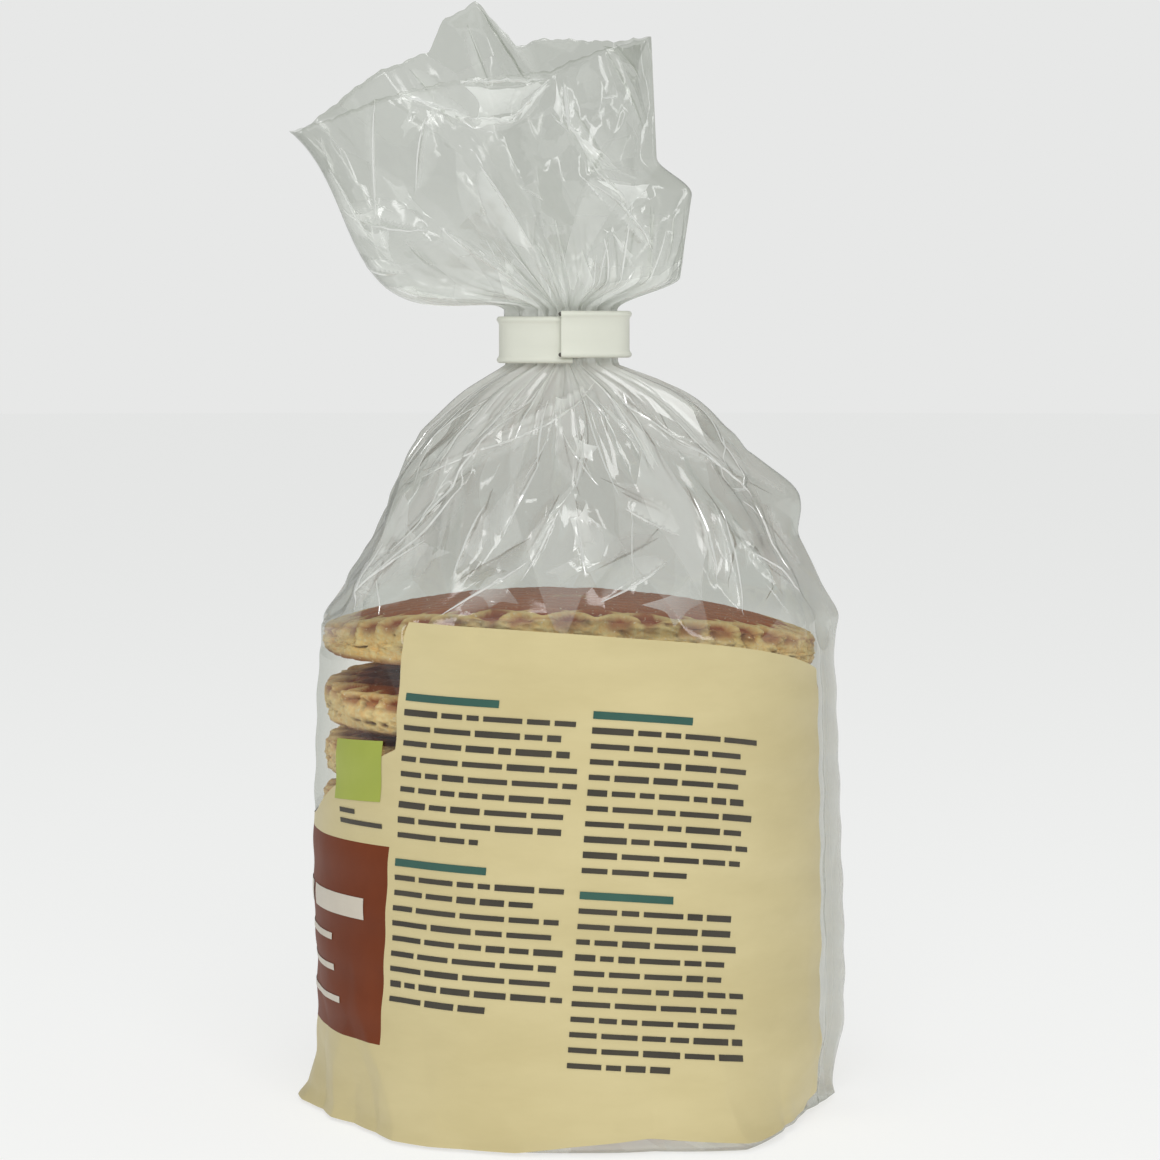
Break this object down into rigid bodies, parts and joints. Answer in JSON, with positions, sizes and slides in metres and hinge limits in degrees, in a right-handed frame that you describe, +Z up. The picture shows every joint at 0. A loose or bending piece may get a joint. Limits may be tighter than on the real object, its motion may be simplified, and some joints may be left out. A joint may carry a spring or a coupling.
{
  "type": "bag of stroopwafels",
  "caption": "Clear film bag of round syrup waffles, gathered at the neck with a flat wired strip and open to a crumpled fan above it, with plain printed panels.",
  "frame": {"origin": "centre of the flat bottom of the bag, on the axis of the stack of waffles", "axes": "+Z up along the stack to the tied neck, -Y towards the large printed panel, +X to its right"},
  "size_m": [0.0955, 0.0936, 0.1896],
  "materials": {
    "film": "clear, glossy, creased",
    "print": "printed film, satin",
    "waffle": "baked, crumbly at the edge, glossy syrup on top",
    "strip": "smooth satin plastic"
  },
  "bodies": {
    "root": {"bag": "film", "tie_strip": "strip"}
  },
  "joints": []
}
